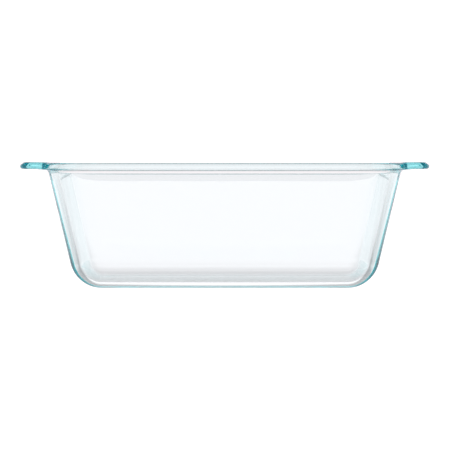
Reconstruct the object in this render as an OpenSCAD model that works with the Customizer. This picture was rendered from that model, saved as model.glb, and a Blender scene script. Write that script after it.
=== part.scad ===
// Clear pressed-glass loaf dish with a tab handle at each end of its rim.
// The real dish is one moulding. The nodes are the regions of that moulding: they meet
// face to face, never overlap, and together make the whole dish and nothing else.
// Origin at the middle of the underside, +X along the length, +Y to the back, +Z up.

/* [Dish] */
// Length over both handles
overall_l = 254; // [246:1:270]
// Height of the rim's top above the underside
rim_h = 78; // [60:1:90]
// Length of the flat underside, along its middle
floor_l = 154.4; // [130:0.2:160]
// Width of the flat underside, across its middle
floor_w = 63; // [50:1:76]
// Lean of every wall, in degrees from upright
draft = 13.4; // [6:0.1:15]

/* [Glass] */
// Thickness of the floor
floor_t = 4.2; // [3:0.1:7]
// Thickness of the walls
wall_t = 5.6; // [3.5:0.1:7]
// Outside radius of the heel, the curve between the underside and the walls
heel_r = 20.5; // [14:0.5:22]

/* [Bow] */
// Radius of the slight outward bow of the long sides, seen from above
long_bow_r = 1400; // [800:50:4000]
// Radius of the slight outward bow of the ends, seen from above
end_bow_r = 700; // [400:50:4000]

/* [Rim] */
// Thickness of the rim, from its top face to its lower face
rim_t = 4.2; // [3:0.1:6]
// How far the rim stands out past the walls
rim_lip = 3.6; // [3:0.1:6]
// Radius of the fillet between the walls and the rim's lower face
rim_fillet_r = 3; // [1:0.1:3.5]

/* [Handles] */
// Width of a handle, across the dish
handle_w = 92; // [50:1:96]
// Thickness of a handle, whose free edges are fully round
handle_t = 4.2; // [3:0.1:6]
// How far a handle's top stands above the rim's top
handle_rise = 0.6; // [0:0.1:1.5]
// Radius of a handle's outer corners, seen from above
handle_corner_r = 9; // [5:0.5:12]

/* [Hidden] */
// Colour of the clear glass, with its faint tint
glass_colour = [0.72, 0.9, 0.92, 0.45];
// Facets of the small curves, of the sweeps round the dish, and of the large bowed arcs
curve_facets = 96;
sweep_facets = 256;
bow_facets = 4096;

// Seen from above, the flat underside is the outline that everything else follows.
// Centres of the arcs that bow its right end and its back
end_centre = [floor_l / 2 - end_bow_r, 0];
long_centre = [0, floor_w / 2 - long_bow_r];
// Its corner, where those two arcs cross
centres_gap = norm(long_centre - end_centre);
gap_direction = (long_centre - end_centre) / centres_gap;
along_gap = (end_bow_r ^ 2 - long_bow_r ^ 2 + centres_gap ^ 2) / (2 * centres_gap);
across_gap = sqrt(end_bow_r ^ 2 - along_gap ^ 2);
corner = end_centre + along_gap * gap_direction + across_gap * [-gap_direction.y, gap_direction.x];
// Angles at which the end and the long side hand over to the turn about the corner
end_angle = atan2(corner.y - end_centre.y, corner.x - end_centre.x);
long_angle = atan2(corner.y - long_centre.y, corner.x - long_centre.x);

// Inside radius of the heel, which takes the glass from the floor's thickness to the walls'
heel_in_r = heel_r - (wall_t - floor_t * sin(draft)) / (1 - sin(draft));
// Centres of the heel's arcs, as distance outside the outline and height. Both arcs start
// on the outline, the inner one on top of the floor.
heel_centre = [0, heel_r];
heel_in_centre = [0, floor_t + heel_in_r];
// Height of the rim's lower face, and distance of the rim's edge outside the outline
rim_low = rim_h - rim_t;
rim_edge = wall_outside(rim_h).x + rim_lip;
// Height of a handle's middle
handle_mid = rim_h + handle_rise - handle_t / 2;

// Sections: x is the distance outside the flat underside's outline, y is the height.

// Distance outside the outline of a wall face that is tangent to an arc of the heel
function wall_x(centre, radius, height) = (radius + (height - centre.y) * sin(draft)) / cos(draft);

// Point on the wall's outer face, and on its inner face, at a height
function wall_outside(height) = [wall_x(heel_centre, heel_r, height), height];
function wall_inside(height) = [wall_x(heel_in_centre, heel_in_r, height), height];

// Point where an arc of the heel hands over to the wall
function heel_end(centre, radius) = centre + radius * [cos(draft), -sin(draft)];

module heel_section() {
    outer_end = heel_end(heel_centre, heel_r);
    inner_end = heel_end(heel_in_centre, heel_in_r);
    // Past both arcs, in line with the heel's end
    beyond = inner_end + 2 * (outer_end - inner_end);
    difference() {
        intersection() {
            translate(heel_centre)
                circle(heel_r, $fn = curve_facets);
            polygon([[0, 0], [beyond.x, 0], beyond, inner_end, heel_in_centre]);
        }
        translate(heel_in_centre)
            circle(heel_in_r, $fn = curve_facets);
    }
}

module wall_section() {
    polygon([
        heel_end(heel_centre, heel_r),
        wall_outside(rim_low),
        wall_inside(rim_low),
        heel_end(heel_in_centre, heel_in_r)
    ]);
}

module rim_section() {
    under_lip = wall_outside(rim_low);
    // The fillet fills the angle between the wall and the rim's lower face
    reach = rim_fillet_r / tan((90 + draft) / 2);
    fillet_centre = under_lip + [reach, -rim_fillet_r];
    difference() {
        polygon([
            wall_inside(rim_low),
            under_lip,
            under_lip - reach * [sin(draft), cos(draft)],
            fillet_centre,
            under_lip + [reach, 0],
            [rim_edge, rim_low],
            [rim_edge, rim_h],
            wall_inside(rim_h)
        ]);
        translate(fillet_centre)
            circle(rim_fillet_r, $fn = curve_facets);
    }
}

// Sweeps: each carries a section round one arc of the outline.

module sweep(centre, radius, from_angle, to_angle) {
    translate([centre.x, centre.y, 0])
        rotate([0, 0, from_angle])
            rotate_extrude(angle = to_angle - from_angle, $fn = sweep_facets)
                translate([radius, 0])
                    children();
}

module along_back() {
    sweep(long_centre, long_bow_r, long_angle, 180 - long_angle)
        children();
}

module along_right() {
    sweep(end_centre, end_bow_r, -end_angle, end_angle)
        children();
}

module round_back_right() {
    sweep(corner, 0, end_angle, long_angle)
        children();
}

module to_front() {
    mirror([0, 1, 0])
        children();
}

module to_left() {
    mirror([1, 0, 0])
        children();
}

module clear_glass() {
    color(glass_colour)
        children();
}

// Floor

module floor() {
    clear_glass()
        linear_extrude(floor_t)
            intersection_for(side = [-1, 1])
                intersection() {
                    translate(side * end_centre)
                        circle(end_bow_r, $fn = bow_facets);
                    translate(side * long_centre)
                        circle(long_bow_r, $fn = bow_facets);
                }
}

// Heels

module back_heel() {
    clear_glass()
        along_back()
            heel_section();
}

module front_heel() {
    to_front()
        back_heel();
}

module right_heel() {
    clear_glass()
        along_right()
            heel_section();
}

module left_heel() {
    to_left()
        right_heel();
}

module back_right_heel() {
    clear_glass()
        round_back_right()
            heel_section();
}

module back_left_heel() {
    to_left()
        back_right_heel();
}

module front_right_heel() {
    to_front()
        back_right_heel();
}

module front_left_heel() {
    to_front()
        back_left_heel();
}

// Walls

module back_wall() {
    clear_glass()
        along_back()
            wall_section();
}

module front_wall() {
    to_front()
        back_wall();
}

module right_wall() {
    clear_glass()
        along_right()
            wall_section();
}

module left_wall() {
    to_left()
        right_wall();
}

module back_right_wall() {
    clear_glass()
        round_back_right()
            wall_section();
}

module back_left_wall() {
    to_left()
        back_right_wall();
}

module front_right_wall() {
    to_front()
        back_right_wall();
}

module front_left_wall() {
    to_front()
        back_left_wall();
}

// Rim

module back_rim() {
    clear_glass()
        along_back()
            rim_section();
}

module front_rim() {
    to_front()
        back_rim();
}

module right_rim() {
    clear_glass()
        along_right()
            rim_section();
}

module left_rim() {
    to_left()
        right_rim();
}

module back_right_rim() {
    clear_glass()
        round_back_right()
            rim_section();
}

module back_left_rim() {
    to_left()
        back_right_rim();
}

module front_right_rim() {
    to_front()
        back_right_rim();
}

module front_left_rim() {
    to_front()
        back_left_rim();
}

// Handles

// Flat slab with fully round free edges, from above the floor's corner out to the tip
module handle_slab() {
    edge_r = handle_t / 2;
    turn_r = handle_corner_r - edge_r;
    tip = overall_l / 2 - edge_r;
    turn = [tip - turn_r, handle_w / 2 - handle_corner_r];
    translate([corner.x, -turn.y, -edge_r])
        cube([tip - corner.x, 2 * turn.y, handle_t]);
    translate([corner.x, -turn.y - turn_r, -edge_r])
        cube([turn.x - corner.x, 2 * (turn.y + turn_r), handle_t]);
    translate([tip, 0, 0])
        rotate([90, 0, 0])
            cylinder(h = 2 * turn.y, r = edge_r, center = true, $fn = curve_facets);
    for (side = [-1, 1]) {
        translate([corner.x, side * (turn.y + turn_r), 0])
            rotate([0, 90, 0])
                cylinder(h = turn.x - corner.x, r = edge_r, $fn = curve_facets);
        translate([turn.x, side * turn.y, 0])
            rotate([0, 0, side > 0 ? 0 : -90])
                handle_turn(turn_r, edge_r);
    }
}

// Quarter turn of a handle's round edge, with the flat quarter inside it
module handle_turn(turn_r, edge_r) {
    rotate_extrude(angle = 90, $fn = curve_facets) {
        translate([turn_r, 0])
            circle(edge_r, $fn = curve_facets);
        translate([0, -edge_r])
            square([turn_r, 2 * edge_r]);
    }
}

// Everything inside the rim's edge at the right end, taller than the dish
module inside_rim_edge() {
    for (side = [-1, 1])
        translate([corner.x, side * corner.y, 0])
            cylinder(h = 2 * rim_h, r = rim_edge, $fn = sweep_facets);
    along_right()
        translate([-floor_l / 2, 0])
            square([floor_l / 2 + rim_edge, 2 * rim_h]);
}

module right_handle() {
    clear_glass()
        difference() {
            translate([0, 0, handle_mid])
                handle_slab();
            inside_rim_edge();
        }
}

module left_handle() {
    to_left()
        right_handle();
}

floor();
front_heel();
back_heel();
left_heel();
right_heel();
front_left_heel();
front_right_heel();
back_left_heel();
back_right_heel();
front_wall();
back_wall();
left_wall();
right_wall();
front_left_wall();
front_right_wall();
back_left_wall();
back_right_wall();
front_rim();
back_rim();
left_rim();
right_rim();
front_left_rim();
front_right_rim();
back_left_rim();
back_right_rim();
left_handle();
right_handle();
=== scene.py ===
"""Clear pressed-glass loaf dish with a tab handle at each end of its rim.

The dish is a single moulding, so its glass is one closed mesh: the underside, heel, walls, rim,
handles and inside follow one another round the same plan outline, in the frame of the CAD model.
Around it stand a pale table, soft surroundings that are brightest behind the dish, and a camera
at the height of the rim. Lengths are in metres and angles in radians.
"""

import logging
import math
from dataclasses import dataclass, field
from enum import Enum

import bmesh
import bpy
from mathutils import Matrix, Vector


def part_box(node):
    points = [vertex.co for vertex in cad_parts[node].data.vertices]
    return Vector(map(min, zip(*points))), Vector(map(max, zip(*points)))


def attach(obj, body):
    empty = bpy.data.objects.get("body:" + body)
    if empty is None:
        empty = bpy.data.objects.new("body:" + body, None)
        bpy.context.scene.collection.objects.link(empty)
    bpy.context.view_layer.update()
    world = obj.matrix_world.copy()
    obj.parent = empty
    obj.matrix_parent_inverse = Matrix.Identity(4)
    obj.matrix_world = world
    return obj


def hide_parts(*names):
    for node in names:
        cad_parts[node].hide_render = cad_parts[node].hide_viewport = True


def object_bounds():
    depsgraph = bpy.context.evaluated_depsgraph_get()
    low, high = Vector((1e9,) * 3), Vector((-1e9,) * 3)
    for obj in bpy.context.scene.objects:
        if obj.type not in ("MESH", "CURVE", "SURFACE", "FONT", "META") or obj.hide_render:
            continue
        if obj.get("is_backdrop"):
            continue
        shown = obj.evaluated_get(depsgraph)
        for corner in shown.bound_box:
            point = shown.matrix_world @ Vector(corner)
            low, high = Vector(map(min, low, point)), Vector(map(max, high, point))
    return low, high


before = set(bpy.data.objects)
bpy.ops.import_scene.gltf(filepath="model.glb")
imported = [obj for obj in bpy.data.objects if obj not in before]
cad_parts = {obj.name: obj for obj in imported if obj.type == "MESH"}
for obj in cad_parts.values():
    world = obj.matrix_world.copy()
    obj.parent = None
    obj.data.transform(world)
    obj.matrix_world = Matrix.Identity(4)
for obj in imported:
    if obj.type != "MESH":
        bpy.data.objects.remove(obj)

log = logging.getLogger("loaf_dish")

QUARTER = math.pi / 2
UP = Vector((0, 0, 1))
WELD = 1e-6
# Steps of the section's curves and faces, from the heel to the rim's two level faces
HEEL_STEPS = 20
WALL_STEPS = 12
EDGE_STEPS = 9
FACE_STEPS = 3
UNDER_STEPS = 9
TOP_STEPS = 12
# Shares of the way across the rim's lower and top faces between which their height changes
UNDER_CLIMB = (0.0, 0.8)
TOP_CLIMB = (0.3, 0.95)
# Sizes of the rings that fill the underside and the floor, as shares of their outlines
FLAT_SHARES = (0.25, 0.5, 0.75, 0.9, 0.97)
# Steps of the plan's curves in one quarter of the dish
TIP_STEPS = 16
TURN_STEPS = 18
SIDE_STEPS = 6
NECK_STEPS = 12
CORNER_STEPS = 32
LONG_STEPS = 30


class Fade(Enum):
    """How a change runs from its start to its end. The values are the shader ramp's own names."""

    EVEN = "LINEAR"
    SOFT = "SMOOTHSTEP"

    def at(self, share: float) -> float:
        """How much of the change is complete.

        Args:
            share: the share of the way, which is held between 0 and 1.

        Returns:
            The complete share of the change.
        """
        held = min(1.0, max(0.0, share))
        return held if self is Fade.EVEN else held * held * (3 - 2 * held)


def mix(start: float, end: float, share: float) -> float:
    """Number a share of the way from start to end."""
    return start + (end - start) * share


def heading(angle: float) -> Vector:
    """Unit vector in plan at an angle in radians, counted from +X towards +Y."""
    return Vector((math.cos(angle), math.sin(angle)))


@dataclass(frozen=True)
class PlanPoint:
    """One place round the dish, seen from above.

    Fields:
        base: the point on the flat underside's outline.
        out: the unit direction straight out of that outline.
        edge: the point on the outermost edge, of the rim or of a handle.
        edge_out: the unit direction straight out of that edge.
        handle: 0 on the plain rim, 1 on a handle.
        tip: 0 along a handle's sides, 1 along its tip.
    """

    base: Vector
    out: Vector
    edge: Vector
    edge_out: Vector
    handle: float
    tip: float

    def mirrored(self, along_x: int, along_y: int) -> "PlanPoint":
        """The same place on another quarter of the dish.

        Args:
            along_x: 1 to keep the sign of X, -1 to turn it.
            along_y: 1 to keep the sign of Y, -1 to turn it.

        Returns:
            The mirrored place.
        """
        kept = (self.base, self.out, self.edge, self.edge_out)
        turned = [Vector((v.x * along_x, v.y * along_y)) for v in kept]
        return PlanPoint(*turned, self.handle, self.tip)


@dataclass(frozen=True)
class Plan:
    """Plan of the dish: the outline that its walls follow, and the edge of its rim and handles.

    Fields, in metres:
        half_l, half_w: half the length and width of the flat underside.
        end_bow, long_bow: radii of the ends' and long sides' slight bow.
        rim_edge: distance of the rim's edge outside the underside's outline.
        tip_x: distance of a handle's tip from the middle.
        handle_half_w: half the width of a handle.
        corner_r: radius of a handle's outer corners.
        neck_r: radius of the fillet where a handle's side leaves the rim.
        neck_reach: how far from the rim a handle gains its own thickness, in fillet radii.
    """

    half_l: float
    half_w: float
    rim_edge: float
    tip_x: float
    handle_half_w: float
    end_bow: float = 0.700
    long_bow: float = 1.400
    corner_r: float = 0.0085
    neck_r: float = 0.0035
    neck_reach: float = 1.8

    def corner(self) -> Vector:
        """Finds where the end's arc and the long side's arc cross.

        Returns:
            The crossing at +X +Y.
        """
        end, side = self.end_centre(), self.side_centre()
        gap = (side - end).length
        toward = (side - end) / gap
        along = (self.end_bow**2 - self.long_bow**2 + gap**2) / (2 * gap)
        across = math.sqrt(self.end_bow**2 - along**2)
        return end + along * toward + across * Vector((-toward.y, toward.x))

    def end_centre(self) -> Vector:
        """Centre of the arc that bows the end at +X."""
        return Vector((self.half_l - self.end_bow, 0.0))

    def side_centre(self) -> Vector:
        """Centre of the arc that bows the long side at +Y."""
        return Vector((0.0, self.half_w - self.long_bow))

    def handle_edge(self) -> list[tuple[Vector, Vector, float]]:
        """Edge of a handle from the middle of its tip to the rim.

        Returns:
            Each point with the unit direction out of the edge and its nearness to the tip, 0 to 1.
        """
        turn = Vector((self.tip_x - self.corner_r, self.handle_half_w - self.corner_r))
        foot = self.corner()
        neck_y = self.handle_half_w + self.neck_r
        rise = neck_y - foot.y
        neck = Vector((foot.x + math.sqrt((self.rim_edge + self.neck_r) ** 2 - rise**2), neck_y))
        edge = []
        for i in range(TIP_STEPS):
            edge.append((Vector((self.tip_x, turn.y * i / TIP_STEPS)), heading(0), 1.0))
        for i in range(TURN_STEPS):
            angle = QUARTER * i / TURN_STEPS
            edge.append((turn + self.corner_r * heading(angle), heading(angle), math.cos(angle) ** 2))
        for i in range(SIDE_STEPS):
            x = mix(turn.x, neck.x, i / SIDE_STEPS)
            edge.append((Vector((x, self.handle_half_w)), heading(QUARTER), 0.0))
        last = math.atan2(foot.y - neck.y, foot.x - neck.x)
        for i in range(NECK_STEPS + 1):
            angle = mix(-QUARTER, last, i / NECK_STEPS)
            edge.append((neck + self.neck_r * heading(angle), -heading(angle), 0.0))
        return edge

    def quarter(self) -> list[PlanPoint]:
        """Places round one quarter of the dish, from the middle of an end to the middle of a side.

        Returns:
            The places in order, with +X and +Y.
        """
        end, side, foot = self.end_centre(), self.side_centre(), self.corner()
        end_angle = math.atan2(foot.y - end.y, foot.x - end.x)
        side_angle = math.atan2(foot.y - side.y, foot.x - side.x)
        edge = self.handle_edge()
        neck_out = edge[-1][1]
        neck_angle = math.atan2(neck_out.y, neck_out.x)
        end_run = end_angle * (self.end_bow + self.rim_edge)
        whole_run = end_run + (neck_angle - end_angle) * self.rim_edge
        walked = [0.0]
        for (here, _, _), (there, _, _) in zip(edge, edge[1:]):
            walked.append(walked[-1] + (there - here).length)
        places = []
        for (point, out, tip), far in zip(edge, walked):
            run = whole_run * far / walked[-1]
            if run < end_run:
                angle = run / (self.end_bow + self.rim_edge)
                base = end + self.end_bow * heading(angle)
            else:
                angle = end_angle + (run - end_run) / self.rim_edge
                base = foot
            from_rim = (walked[-1] - far) / (self.neck_reach * self.neck_r)
            places.append(PlanPoint(base, heading(angle), point, out, Fade.SOFT.at(from_rim), tip))
        for i in range(1, CORNER_STEPS):
            out = heading(mix(neck_angle, side_angle, i / CORNER_STEPS))
            places.append(PlanPoint(foot, out, foot + self.rim_edge * out, out, 0.0, 0.0))
        for i in range(LONG_STEPS + 1):
            out = heading(mix(side_angle, QUARTER, i / LONG_STEPS))
            base = side + self.long_bow * out
            places.append(PlanPoint(base, out, base + self.rim_edge * out, out, 0.0, 0.0))
        return places

    def loop(self) -> list[PlanPoint]:
        """Places all the way round the dish.

        Returns:
            The places in order, anticlockwise from the middle of the end at +X.
        """
        first = self.quarter()
        second = [p.mirrored(-1, 1) for p in reversed(first)][1:]
        half = first + second
        other = [p.mirrored(1, -1) for p in reversed(half)][1:-1]
        return half + other


@dataclass
class GlassDish:
    """The whole dish as one closed glass mesh.

    Fields, in metres and radians:
        plan: the plan outline.
        rim_top, rim_low: heights of the rim's top and lower face.
        handle_top, handle_low: heights of a handle's top and lower face.
        floor_t, wall_t: thicknesses of the floor and of the walls.
        draft: lean of the walls from upright.
        heel_r: outside radius of the heel.
        fillet_r: radius of the fillet under the rim.
        rim_edge_r, handle_edge_r: radii of the rounded edges.
        mouth_r: radius of the rim's inner edge.
        tip_slant, side_slant, rim_slant: how far an edge's top stands back from its foot.
    """

    plan: Plan
    rim_top: float
    rim_low: float
    handle_top: float
    handle_low: float
    floor_t: float
    wall_t: float = 0.0056
    draft: float = math.radians(13.4)
    heel_r: float = 0.0205
    fillet_r: float = 0.0030
    rim_edge_r: float = 0.0013
    handle_edge_r: float = 0.0016
    mouth_r: float = 0.0014
    tip_slant: float = 0.0014
    side_slant: float = 0.0
    rim_slant: float = 0.0001
    places: list[PlanPoint] = field(init=False)

    def __post_init__(self) -> None:
        """Works out the places round the dish."""
        self.places = self.plan.loop()

    @classmethod
    def from_cad(cls) -> "GlassDish":
        """Sizes the dish from the nodes of the CAD model.

        Returns:
            The dish.
        """
        floor_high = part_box("floor")[1]
        rim_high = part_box("back_rim")[1]
        handle_low, handle_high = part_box("right_handle")
        plan = Plan(
            half_l=floor_high.x,
            half_w=floor_high.y,
            rim_edge=rim_high.y - floor_high.y,
            tip_x=handle_high.x,
            handle_half_w=handle_high.y,
        )
        return cls(
            plan=plan,
            rim_top=rim_high.z,
            rim_low=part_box("back_wall")[1].z,
            handle_top=handle_high.z,
            handle_low=handle_low.z,
            floor_t=floor_high.z,
        )

    def wall_x(self, radius: float, foot: float, height: float) -> float:
        """Distance outside the outline of a wall face tangent to the heel.

        Args:
            radius: the heel's radius on that face.
            foot: the height at which the heel starts on that face.
            height: the height of the point.

        Returns:
            The distance.
        """
        return (radius + (height - foot - radius) * math.sin(self.draft)) / math.cos(self.draft)

    def inner_heel_r(self) -> float:
        """Inside radius of the heel that takes the glass from the floor's thickness to the walls'."""
        lean = math.sin(self.draft)
        return self.heel_r - (self.wall_t - self.floor_t * lean) / (1 - lean)

    def offset_ring(self, out: float, height: float) -> list[Vector]:
        """Ring of points at a distance outside the outline and at a height."""
        return [(p.base + out * p.out).to_3d() + height * UP for p in self.places]

    def arc_rings(self, centre: tuple[float, float], radius: float, start: float, end: float,
                  steps: int) -> list[list[Vector]]:
        """Rings along an arc of the section.

        Args:
            centre: distance outside the outline and height of the arc's centre.
            radius: the arc's radius.
            start: the angle of its first point, from straight out.
            end: the angle of its last point.
            steps: how many steps it is cut into.

        Returns:
            The rings in order.
        """
        rings = []
        for i in range(steps + 1):
            angle = mix(start, end, i / steps)
            out = centre[0] + radius * math.cos(angle)
            rings.append(self.offset_ring(out, centre[1] + radius * math.sin(angle)))
        return rings

    def wall_rings(self, radius: float, foot: float, low: float, high: float,
                   steps: int) -> list[list[Vector]]:
        """Rings strictly between two heights of a wall face.

        Args:
            radius: the heel's radius on that face.
            foot: the height at which the heel starts on that face.
            low: the lower height.
            high: the upper height.
            steps: how many steps the way is cut into.

        Returns:
            The rings from low to high.
        """
        heights = [mix(low, high, i / steps) for i in range(1, steps)]
        return [self.offset_ring(self.wall_x(radius, foot, height), height) for height in heights]

    def outside(self) -> list[list[Vector]]:
        """Rings up the outside of the dish.

        Returns:
            The rings in order, from the underside's outline to the rim's lower face.
        """
        lean = self.draft
        rings = self.arc_rings((0.0, self.heel_r), self.heel_r, -QUARTER, -lean, HEEL_STEPS)
        reach = self.fillet_r / math.tan((QUARTER + lean) / 2)
        low = self.heel_r - self.heel_r * math.sin(lean)
        high = self.rim_low - reach * math.cos(lean)
        rings += self.wall_rings(self.heel_r, 0.0, low, high, WALL_STEPS)
        centre = (self.wall_x(self.heel_r, 0.0, self.rim_low) + reach, self.rim_low - self.fillet_r)
        return rings + self.arc_rings(centre, self.fillet_r, math.pi - lean, QUARTER, EDGE_STEPS)

    def edge_rings(self) -> list[list[Vector]]:
        """Rings round the edge of the rim and handles.

        Returns:
            The rings in order, from the lower face to the top face.
        """
        rings = [[] for _ in range(2 * EDGE_STEPS + FACE_STEPS + 1)]
        for p in self.places:
            radius = mix(self.rim_edge_r, self.handle_edge_r, p.handle)
            low = mix(self.rim_low, self.handle_low, p.handle)
            high = mix(self.rim_top, self.handle_top, p.handle)
            slant = mix(self.rim_slant, mix(self.side_slant, self.tip_slant, p.tip), p.handle)
            lean = math.atan2(slant, high - low - 2 * radius)
            turns = [(mix(-QUARTER, lean, i / EDGE_STEPS), 0.0) for i in range(EDGE_STEPS + 1)]
            turns += [(lean, i / FACE_STEPS) for i in range(1, FACE_STEPS)]
            turns += [(mix(lean, QUARTER, i / EDGE_STEPS), 1.0) for i in range(EDGE_STEPS + 1)]
            for ring, (angle, up) in zip(rings, turns):
                inward = radius + slant * up - radius * math.cos(angle)
                height = mix(low + radius, high - radius, up) + radius * math.sin(angle)
                ring.append((p.edge - inward * p.edge_out).to_3d() + height * UP)
        return rings

    def bridge(self, start: list[Vector], end: list[Vector], steps: int,
               climb: tuple[float, float]) -> list[list[Vector]]:
        """Rings strictly between two rings, level at both ends.

        Args:
            start: the ring to leave.
            end: the ring to reach.
            steps: how many steps the way is cut into.
            climb: the shares of the way between which the height changes.

        Returns:
            The rings in order.
        """
        rings = []
        for i in range(1, steps):
            share = i / steps
            up = Fade.SOFT.at((share - climb[0]) / (climb[1] - climb[0]))
            rings.append([Vector((mix(a.x, b.x, share), mix(a.y, b.y, share), mix(a.z, b.z, up)))
                          for a, b in zip(start, end)])
        return rings

    def inside(self) -> list[list[Vector]]:
        """Rings down the inside of the dish.

        Returns:
            The rings in order, from the rim's top face to the floor's outline.
        """
        lean = self.draft
        inner_r = self.inner_heel_r()
        foot = self.floor_t
        reach = self.mouth_r / math.tan((QUARTER + lean) / 2)
        centre = (self.wall_x(inner_r, foot, self.rim_top) + reach, self.rim_top - self.mouth_r)
        rings = self.arc_rings(centre, self.mouth_r, QUARTER, math.pi - lean, EDGE_STEPS)
        low = foot + inner_r - inner_r * math.sin(lean)
        high = self.rim_top - reach * math.cos(lean)
        rings += reversed(self.wall_rings(inner_r, foot, low, high, WALL_STEPS))
        return rings + self.arc_rings((0.0, foot + inner_r), inner_r, -lean, -QUARTER, HEEL_STEPS)

    def rings(self) -> list[list[Vector]]:
        """All the rings of the dish.

        Returns:
            The rings in order, from the middle of the underside over the rim to the middle of the floor.
        """
        outside, edge, inside = self.outside(), self.edge_rings(), self.inside()
        under = self.bridge(outside[-1], edge[0], UNDER_STEPS, UNDER_CLIMB)
        top = self.bridge(edge[-1], inside[0], TOP_STEPS, TOP_CLIMB)
        underside = [self.shrunk(outside[0], share) for share in FLAT_SHARES]
        floor = [self.shrunk(inside[-1], share) for share in reversed(FLAT_SHARES)]
        return underside + outside + under + edge + top + inside + floor

    def shrunk(self, ring: list[Vector], share: float) -> list[Vector]:
        """A level ring drawn in towards the middle of the dish to a share of its size."""
        return [Vector((v.x * share, v.y * share, v.z)) for v in ring]

    def build(self, name: str) -> bpy.types.Object:
        """Makes the mesh and its object.

        Args:
            name: the piece's name.

        Returns:
            The object, in the frame of the CAD model.
        """
        bm = bmesh.new()
        rings = [[bm.verts.new(point) for point in ring] for ring in self.rings()]
        count = len(self.places)
        for lower, upper in zip(rings, rings[1:]):
            for i in range(count):
                j = (i + 1) % count
                bm.faces.new((lower[i], lower[j], upper[j], upper[i]))
        bm.faces.new(rings[0])
        bm.faces.new(rings[-1])
        bmesh.ops.remove_doubles(bm, verts=bm.verts, dist=WELD)
        bmesh.ops.recalc_face_normals(bm, faces=bm.faces)
        for face in bm.faces:
            face.smooth = True
        mesh = bpy.data.meshes.new(name)
        bm.to_mesh(mesh)
        bm.free()
        piece = bpy.data.objects.new(name, mesh)
        bpy.context.scene.collection.objects.link(piece)
        return piece

    def dress(self, piece: bpy.types.Object) -> None:
        """Gives the mesh its glass, and puts it in the place of the CAD model's nodes.

        Args:
            piece: the dish's object.
        """
        piece.data.materials.append(ClearGlass().build())
        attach(piece, "root")
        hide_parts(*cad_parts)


def add_node(tree: bpy.types.NodeTree, kind: str, **values: float) -> bpy.types.Node:
    """Adds a shader node and sets its plain inputs.

    Args:
        tree: the node tree to add it to.
        kind: the node's type, without its common beginning.
        values: the inputs to set, with underscores for the spaces in their names.

    Returns:
        The node.
    """
    node = tree.nodes.new("ShaderNode" + kind)
    for name, value in values.items():
        node.inputs[name.replace("_", " ")].default_value = value
    return node


def add_math(tree: bpy.types.NodeTree, operation: str, first: "float | bpy.types.NodeSocket",
             second: "float | bpy.types.NodeSocket" = 0.0) -> bpy.types.NodeSocket:
    """Adds a sum of one or two terms, each a number or a socket.

    Args:
        tree: the node tree to add it to.
        operation: the kind of sum.
        first: the first term.
        second: the second term.

    Returns:
        The socket with the result.
    """
    node = tree.nodes.new("ShaderNodeMath")
    node.operation = operation
    for term, socket in zip((first, second), node.inputs):
        if isinstance(term, float):
            socket.default_value = term
        else:
            tree.links.new(term, socket)
    return node.outputs["Value"]


def add_ramp(tree: bpy.types.NodeTree, value: bpy.types.NodeSocket, reach: tuple[float, float],
             result: tuple[float, float], fade: Fade = Fade.SOFT) -> bpy.types.NodeSocket:
    """Adds a ramp.

    Args:
        tree: the node tree to add it to.
        value: the socket that it follows.
        reach: the values at which it starts and ends.
        result: what it gives at its start and end.
        fade: how it runs between them.

    Returns:
        The socket with what it gives.
    """
    ramp = add_node(tree, "MapRange", From_Min=reach[0], From_Max=reach[1],
                    To_Min=result[0], To_Max=result[1])
    ramp.interpolation_type = fade.value
    tree.links.new(value, ramp.inputs["Value"])
    return ramp.outputs["Result"]


def add_plain_look(tree: bpy.types.NodeTree, plain: float,
                   lit: bpy.types.NodeSocket) -> bpy.types.NodeSocket:
    """Adds a strength that is plain where it is seen directly, and lit where the glass shows it.

    Args:
        tree: the node tree to add it to.
        plain: the strength seen directly.
        lit: the strength seen in any other way.

    Returns:
        The socket with the strength.
    """
    path = tree.nodes.new("ShaderNodeLightPath")
    choice = tree.nodes.new("ShaderNodeMix")
    tree.links.new(path.outputs["Is Camera Ray"], choice.inputs["Factor"])
    tree.links.new(lit, choice.inputs["A"])
    choice.inputs["B"].default_value = plain
    return choice.outputs["Result"]


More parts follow.
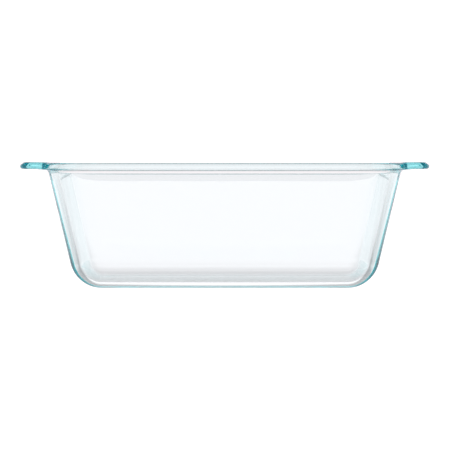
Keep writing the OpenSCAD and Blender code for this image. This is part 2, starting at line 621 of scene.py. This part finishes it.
@dataclass(frozen=True)
class Unevenness:
    """Node group: slow waves, a finer ripple and patchy haze, as on a pressed surface.

    Its inputs are the Wave Size and Ripple Size in metres and the Wave Height and Ripple Height
    in metres. Its outputs are Height, in metres, and Haze, a mask from 0 to 1.

    Fields:
        name: the group's name.
        swells: name, finest detail and starting size of each of the two kinds of wave.
        swell_roughness: how strong the waves' finer detail is.
        haze_scale, haze_detail, haze_roughness: pattern of the haze.
        haze_reach: values of that pattern at which the haze starts and is complete.
    """

    name: str = "surface_unevenness"
    swells: tuple[tuple[str, float, float], ...] = (("Wave", 1.0, 0.030), ("Ripple", 2.0, 0.005))
    swell_roughness: float = 0.45
    haze_scale: float = 26.0
    haze_detail: float = 4.0
    haze_roughness: float = 0.6
    haze_reach: tuple[float, float] = (0.42, 0.72)

    def group(self) -> bpy.types.NodeTree:
        """The group, which is made once."""
        return bpy.data.node_groups.get(self.name) or self.build()

    def add_socket(self, tree: bpy.types.NodeTree, name: str, way: str, start: float) -> None:
        """Adds a number socket to the group.

        Args:
            tree: the group.
            name: the socket's name.
            way: INPUT or OUTPUT.
            start: the value that it starts with.
        """
        made = tree.interface.new_socket(name=name, in_out=way, socket_type="NodeSocketFloat")
        made.default_value = start

    def build(self) -> bpy.types.NodeTree:
        """Makes the group with its sockets, textures and sums.

        Returns:
            The group.
        """
        tree = bpy.data.node_groups.new(self.name, "ShaderNodeTree")
        for swell, _, size in self.swells:
            self.add_socket(tree, swell + " Size", "INPUT", size)
            self.add_socket(tree, swell + " Height", "INPUT", 0.0)
        self.add_socket(tree, "Height", "OUTPUT", 0.0)
        self.add_socket(tree, "Haze", "OUTPUT", 0.0)
        source = tree.nodes.new("NodeGroupInput")
        result = tree.nodes.new("NodeGroupOutput")
        place = tree.nodes.new("ShaderNodeTexCoord")
        heights = []
        for swell, detail, _ in self.swells:
            noise = add_node(tree, "TexNoise", Detail=detail, Roughness=self.swell_roughness)
            per_metre = add_math(tree, "DIVIDE", 1.0, source.outputs[swell + " Size"])
            height = source.outputs[swell + " Height"]
            tree.links.new(place.outputs["Object"], noise.inputs["Vector"])
            tree.links.new(per_metre, noise.inputs["Scale"])
            heights.append(add_math(tree, "MULTIPLY", noise.outputs["Fac"], height))
        tree.links.new(add_math(tree, "ADD", *heights), result.inputs["Height"])
        haze = add_node(tree, "TexNoise", Scale=self.haze_scale, Detail=self.haze_detail,
                        Roughness=self.haze_roughness)
        tree.links.new(place.outputs["Object"], haze.inputs["Vector"])
        patch = add_ramp(tree, haze.outputs["Fac"], self.haze_reach, (0.0, 1.0), Fade.EVEN)
        tree.links.new(patch, result.inputs["Haze"])
        return tree

    def place_in(self, tree: bpy.types.NodeTree, **values: float) -> bpy.types.Node:
        """Puts the group in a material, with the values of its inputs.

        Args:
            tree: the material's node tree.
            values: the inputs to set, with underscores for the spaces in their names.

        Returns:
            The group's node.
        """
        node = tree.nodes.new("ShaderNodeGroup")
        node.node_tree = self.group()
        for name, value in values.items():
            node.inputs[name.replace("_", " ")].default_value = value
        return node


@dataclass(frozen=True)
class ClearGlass:
    """Finish of the dish: clear pressed glass, teal where it is seen through a long way of glass.

    Fields:
        ior: refractive index.
        tint: colour left after a long way through the glass.
        tint_per_m: how fast the tint comes in.
        wave_size, wave_height: size and height of the slow waves of the pressed surface.
        ripple_size, ripple_height: size and height of the fine ripple left by fire polishing.
        haze: roughness of the haziest patches.
    """

    ior: float = 1.5
    tint: tuple[float, float, float] = (0.0, 0.93, 0.965)
    tint_per_m: float = 12.0
    wave_size: float = 0.030
    wave_height: float = 0.00004
    ripple_size: float = 0.005
    ripple_height: float = 0.0000012
    haze: float = 0.010

    def build(self) -> bpy.types.Material:
        """Makes the material, with the unevenness in its normal and roughness.

        Returns:
            The material.
        """
        material = bpy.data.materials.new("clear_glass")
        material.use_nodes = True
        tree = material.node_tree
        shader = tree.nodes["Principled BSDF"]
        shader.inputs["Base Color"].default_value = (1, 1, 1, 1)
        shader.inputs["Metallic"].default_value = 0.0
        shader.inputs["IOR"].default_value = self.ior
        shader.inputs["Transmission Weight"].default_value = 1.0
        uneven = Unevenness().place_in(tree, Wave_Size=self.wave_size, Wave_Height=self.wave_height,
                                       Ripple_Size=self.ripple_size, Ripple_Height=self.ripple_height)
        bump = add_node(tree, "Bump", Strength=1.0, Distance=1.0)
        tree.links.new(uneven.outputs["Height"], bump.inputs["Height"])
        tree.links.new(bump.outputs["Normal"], shader.inputs["Normal"])
        rough = add_ramp(tree, uneven.outputs["Haze"], (0.0, 1.0), (0.0, self.haze), Fade.EVEN)
        tree.links.new(rough, shader.inputs["Roughness"])
        absorb = tree.nodes.new("ShaderNodeVolumeAbsorption")
        absorb.inputs["Color"].default_value = (*self.tint, 1)
        absorb.inputs["Density"].default_value = self.tint_per_m
        tree.links.new(absorb.outputs["Volume"], tree.nodes["Material Output"].inputs["Volume"])
        return material


@dataclass(frozen=True)
class Table:
    """The pale glowing table, which reaches past the horizon. Seen directly it is evenly bright, with no
    shadow on it. Where the glass shows it, its emission is painted light and shade along Y: a painted
    bright strip just in front of the dish's underside, painted shadow under the dish, and painted shade
    just behind the dish that brightens further back.

    Fields:
        radius: how far it reaches.
        segments: how many straight edges go round it.
        gap: how far its top is below the dish.
        top_colour: its colour, which is dark, so that its emission sets how pale it looks rather than the
            light that falls on it.
        plain: strength of its emission where it is seen directly.
        glow_colour: colour of its light.
        painted_front_emission: the painted strength that the glass shows in front of the first step.
        painted_shade_and_light_steps: the painted light and shade that the glass shows, from in front of
            the dish backwards. Each step is the place along Y where a change starts, the place where it
            is complete, and the strength there.
        roughness: roughness of its top.
    """

    radius: float = 8.0
    segments: int = 128
    gap: float = 0.00005
    top_colour: tuple[float, float, float] = (0.2, 0.2, 0.2)
    plain: float = 1.2
    glow_colour: tuple[float, float, float] = (1.0, 0.905, 0.925)
    painted_front_emission: float = 0.85
    painted_shade_and_light_steps: tuple[tuple[float, float, float], ...] = (
        (-0.042, -0.036, 1.18),
        (-0.034, -0.030, 0.38),
        (-0.010, 0.036, 0.72),
        (0.044, 0.056, 0.70),
        (0.085, 0.100, 0.80),
        (0.100, 0.500, 0.98),
    )
    roughness: float = 0.6

    def finish(self) -> bpy.types.Material:
        """Makes the table's material, a pale sheet that glows. The emission that the glass shows carries
        painted light and shade along Y.

        Returns:
            The material.
        """
        material = bpy.data.materials.new("table")
        material.use_nodes = True
        tree = material.node_tree
        shader = tree.nodes["Principled BSDF"]
        shader.inputs["Base Color"].default_value = (*self.top_colour, 1)
        shader.inputs["Roughness"].default_value = self.roughness
        shader.inputs["Emission Color"].default_value = (*self.glow_colour, 1)
        place = tree.nodes.new("ShaderNodeTexCoord")
        parts = tree.nodes.new("ShaderNodeSeparateXYZ")
        tree.links.new(place.outputs["Object"], parts.inputs["Vector"])
        # Painted light and shade: the emission that the glass shows steps along Y. It is bright just in
        # front of the dish and darker under and behind it, as a painted shadow.
        painted_emission = self.painted_front_emission
        last = self.painted_front_emission
        for start, end, strength in self.painted_shade_and_light_steps:
            change = add_ramp(tree, parts.outputs["Y"], (start, end), (0.0, strength - last))
            painted_emission = add_math(tree, "ADD", painted_emission, change)
            last = strength
        tree.links.new(add_plain_look(tree, self.plain, painted_emission), shader.inputs["Emission Strength"])
        return material

    def build(self) -> bpy.types.Object:
        """Makes the table top, a level disc.

        Returns:
            The table.
        """
        bm = bmesh.new()
        bmesh.ops.create_circle(bm, cap_ends=True, segments=self.segments, radius=self.radius)
        mesh = bpy.data.meshes.new("table")
        bm.to_mesh(mesh)
        bm.free()
        table = bpy.data.objects.new("table", mesh)
        table.location.z = -self.gap
        mesh.materials.append(self.finish())
        bpy.context.scene.collection.objects.link(table)
        table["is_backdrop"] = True
        return table


@dataclass(frozen=True)
class Surroundings:
    """Soft light from all round the dish: brightest behind it, dim behind the camera.

    Fields:
        colour: colour of the light.
        clear: strength where they are seen directly.
        back, front: strengths straight behind the dish and straight behind the camera.
        front_y, back_y: how far along Y a direction points where the light is at each of these.
        top: share of that strength overhead.
        low_z, high_z: how far up a direction points where the dimming overhead starts and ends.
        side: share of that strength at the sides.
        near_x, far_x: how far sideways a direction points where that dimming starts and ends.
    """

    colour: tuple[float, float, float] = (1.0, 0.905, 0.925)
    clear: float = 1.2
    back: float = 1.03
    front: float = 0.75
    front_y: float = -0.7
    back_y: float = 0.3
    top: float = 0.3
    low_z: float = 0.3
    high_z: float = 0.6
    side: float = 0.75
    near_x: float = 0.45
    far_x: float = 0.85

    def build(self) -> None:
        """Makes the world and gives it to the scene."""
        world = bpy.data.worlds.new("surroundings")
        world.use_nodes = True
        tree = world.node_tree
        direction = tree.nodes.new("ShaderNodeTexCoord")
        parts = tree.nodes.new("ShaderNodeSeparateXYZ")
        tree.links.new(direction.outputs["Generated"], parts.inputs["Vector"])
        sideways = add_math(tree, "ABSOLUTE", parts.outputs["X"])
        strength = add_ramp(tree, parts.outputs["Y"], (self.front_y, self.back_y), (self.front, self.back))
        dimming = [
            add_ramp(tree, parts.outputs["Z"], (self.low_z, self.high_z), (1.0, self.top)),
            add_ramp(tree, sideways, (self.near_x, self.far_x), (1.0, self.side)),
        ]
        for share in dimming:
            strength = add_math(tree, "MULTIPLY", strength, share)
        background = tree.nodes["Background"]
        background.inputs["Color"].default_value = (*self.colour, 1)
        tree.links.new(add_plain_look(tree, self.clear, strength), background.inputs["Strength"])
        bpy.context.scene.world = world


@dataclass(frozen=True)
class FrontCamera:
    """The camera, straight in front of the dish and a little above its rim.

    Fields:
        distance: from the camera to the middle of the dish.
        over_rim: how far the camera is above the rim.
        aside: how far it is to the right of the middle.
        corner_y: how far the handles' widest points are in front of the middle.
        frame_share: width of the picture at those points, as a share of the dish's length.
        foot_y: how far the foot of the near wall is in front of the middle.
        foot_share: how far the foot is below the picture's middle, as a share of its width.
        nearest, farthest: the distances between which it sees.
    """

    distance: float = 1.5
    over_rim: float = 0.002
    aside: float = 0.0002
    corner_y: float = 0.0372
    frame_share: float = 1.1002
    foot_y: float = 0.030
    foot_share: float = 0.1402
    nearest: float = 0.05
    farthest: float = 50.0

    def build(self, dish_l: float, rim_top: float) -> bpy.types.Object:
        """Makes the camera and gives it to the scene.

        Args:
            dish_l: the dish's length over its handles.
            rim_top: the height of its rim.

        Returns:
            The camera.
        """
        data = bpy.data.cameras.new("camera")
        width_per_m = self.frame_share * dish_l / (self.distance - self.corner_y)
        data.lens = data.sensor_width / width_per_m
        data.clip_start = self.nearest
        data.clip_end = self.farthest
        camera = bpy.data.objects.new("camera", data)
        near = self.distance - self.foot_y
        aim_z = self.foot_share * width_per_m * near
        height = rim_top + self.over_rim
        camera.location = (self.aside, -self.distance, height)
        camera.rotation_euler = (QUARTER - math.atan2(height - aim_z, near), 0.0, 0.0)
        bpy.context.scene.collection.objects.link(camera)
        bpy.context.scene.camera = camera
        return camera


@dataclass(frozen=True)
class LightPaths:
    """How often light may turn before it is given up, and how brightness becomes colour.

    Fields:
        glass: the most turns in glass, whose edges are dark with fewer.
        matt: the most turns off matt surfaces.
        view: the colour transform, which leaves white as it is.
    """

    glass: int = 48
    matt: int = 4
    view: str = "Standard"

    def give_to(self, scene: bpy.types.Scene) -> None:
        """Sets a scene to these values.

        Args:
            scene: the scene to set.
        """
        scene.cycles.max_bounces = self.glass
        scene.cycles.transmission_bounces = self.glass
        scene.cycles.glossy_bounces = self.glass
        scene.cycles.diffuse_bounces = self.matt
        scene.view_settings.view_transform = self.view


def main() -> None:
    """Builds the dish and the studio."""
    cad_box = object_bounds()
    dish = GlassDish.from_cad()
    piece = dish.build("glass_dish")
    dish.dress(piece)
    log.info("%s: %d faces", piece.name, len(piece.data.polygons))
    table = Table().build()
    log.info("%s: radius %.1f m", table.name, table.dimensions.x / 2)
    Surroundings().build()
    log.info("surroundings: %s", bpy.context.scene.world.name)
    camera = FrontCamera().build(cad_box[1].x - cad_box[0].x, dish.rim_top)
    log.info("%s: lens %.0f mm", camera.name, camera.data.lens)
    LightPaths().give_to(bpy.context.scene)


if __name__ == "__main__":
    logging.basicConfig(level=logging.INFO, format="%(name)s: %(message)s")
    main()
